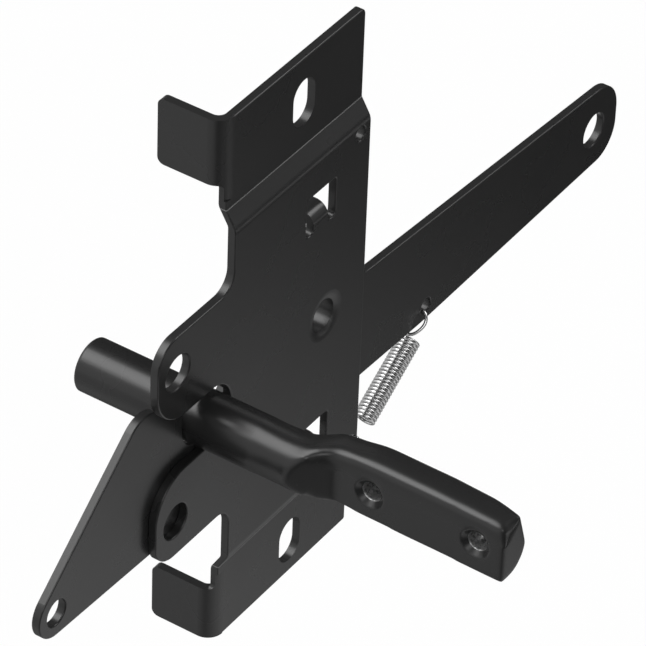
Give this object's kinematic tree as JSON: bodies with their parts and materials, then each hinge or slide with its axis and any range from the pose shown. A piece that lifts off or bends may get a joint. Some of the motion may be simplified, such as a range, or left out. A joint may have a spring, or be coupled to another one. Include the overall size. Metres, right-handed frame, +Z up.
{
  "type": "gate latch",
  "caption": "Stamped post-mounted gate latch: folded plate with a jaw, spring-loaded swinging lever, and a round strike bar with a flattened end for the gate.",
  "frame": {"origin": "midway between the two mounting slots, on the back face of the flanges that rests on the post", "axes": "+X along the plate's width towards the lever's long arm, +Y into the post, +Z up"},
  "size_m": [0.227, 0.1061, 0.143],
  "materials": {
    "coated_plate": "semi-gloss black coating",
    "coated_lever": "semi-gloss black coating",
    "spring_wire": "bright zinc-plated wire",
    "coated_bar": "semi-gloss black coating"
  },
  "bodies": {
    "fixed": {"latch_plate": "coated_plate", "strike_bar": "coated_bar", "latch_spring": "spring_wire"},
    "lever": {"latch_lever": "coated_lever"}
  },
  "joints": [
    {"name": "lever_pivot", "type": "hinge", "parent": "fixed", "child": "lever", "pos_m": [0.0073, 0, 0], "axis": [0, -1, 0], "range_deg": [0, 20], "stiffness_Nm_per_rad": 1.9, "springref_deg": -6.59, "deforming": ["latch_spring"]}
  ]
}
